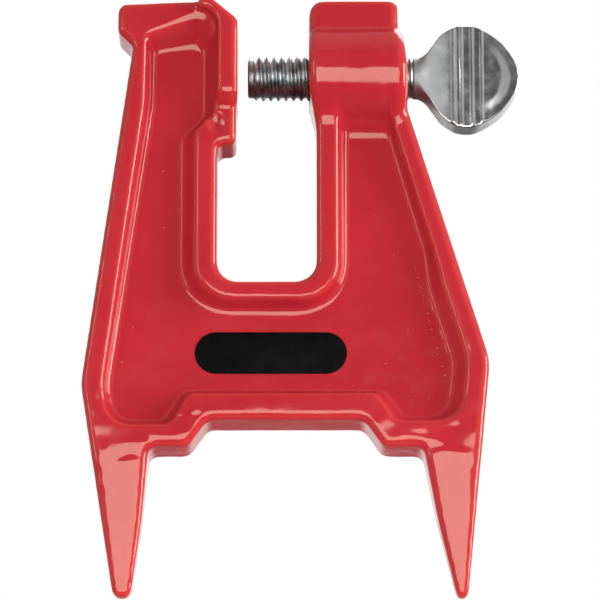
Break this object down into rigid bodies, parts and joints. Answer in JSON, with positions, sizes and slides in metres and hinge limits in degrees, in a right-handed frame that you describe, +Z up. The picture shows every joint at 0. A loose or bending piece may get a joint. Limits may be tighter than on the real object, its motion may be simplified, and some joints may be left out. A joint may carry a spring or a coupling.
{
  "type": "chainsaw filing vise",
  "caption": "Cast stump vise with a recessed A-shaped frame, tapered driving spikes, a guide-bar slot, a fixed jaw and a threaded boss that carries a clamping thumb screw.",
  "frame": {"origin": "on the casting's parting plane, in the plane of the two shoulders that stop on the stump, midway between the spike tips", "axes": "+X along the thumb screw towards its paddle, +Z up from the shoulders towards the hammer pads with the spikes pointing along -Z, +Y across the casting's thickness, the front face towards -Y"},
  "size_m": [0.0909, 0.022, 0.1273],
  "materials": {
    "red_enamel": "gloss",
    "screw_steel": "satin",
    "plated_steel": "bright plated"
  },
  "bodies": {
    "frame": {"cast_frame": "red_enamel"},
    "stud": {"clamp_screw": "screw_steel"},
    "paddle": {"thumb_paddle": "plated_steel"}
  },
  "joints": [
    {"name": "screw_travel", "type": "slide", "parent": "frame", "child": "stud", "axis": [1, 0, 0], "range_m": [-0.00118, 0.0142]},
    {"name": "screw_turn", "type": "hinge", "parent": "stud", "child": "paddle", "pos_m": [0.0254, 0, 0.08085], "axis": [1, 0, 0], "range_deg": [-225, 2880]}
  ],
  "couplings": [
    {"joint": "screw_travel", "follows": "screw_turn", "m_per_rad": 0.00025266}
  ]
}
